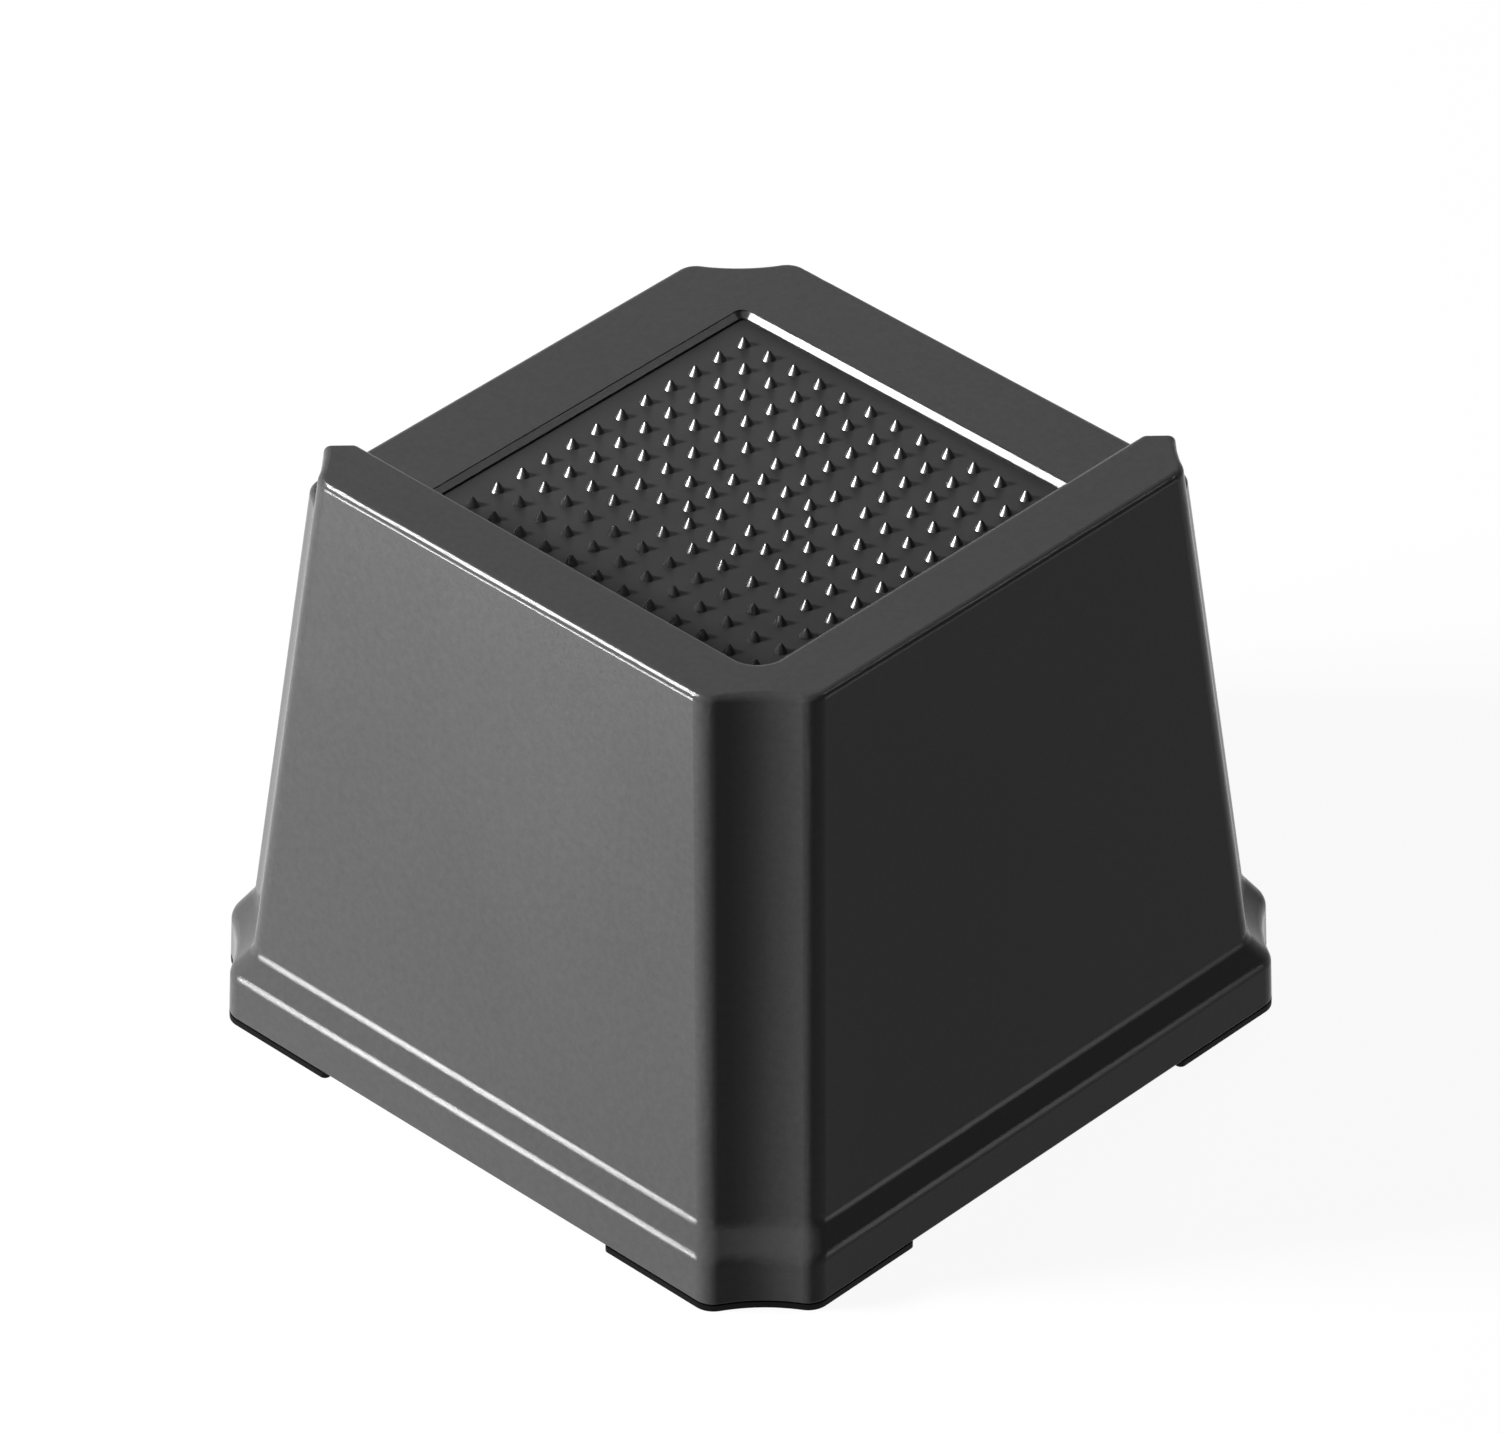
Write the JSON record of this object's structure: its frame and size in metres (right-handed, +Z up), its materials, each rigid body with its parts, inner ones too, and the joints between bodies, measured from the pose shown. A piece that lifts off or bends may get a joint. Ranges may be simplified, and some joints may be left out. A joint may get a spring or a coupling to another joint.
{
  "type": "bed riser",
  "caption": "Square tapered bed riser with hollowed corners, a guard along two sides, a spiked grip mat in its leg seat and rubber feet under the corners",
  "frame": {"origin": "on the floor under the middle of the base", "axes": "+Z up, X and Y along the base's sides; the guard runs along the -X and -Y sides"},
  "size_m": [0.1094, 0.1094, 0.0882],
  "materials": {
    "body_plastic": "satin, fine moulded grain",
    "mat_rubber": "smooth soft rubber",
    "foot_rubber": "matt rubber"
  },
  "bodies": {
    "root": {"riser_body": "body_plastic", "grip_mat": "mat_rubber", "foot_front": "foot_rubber", "foot_right": "foot_rubber", "foot_back": "foot_rubber", "foot_left": "foot_rubber"}
  },
  "joints": []
}
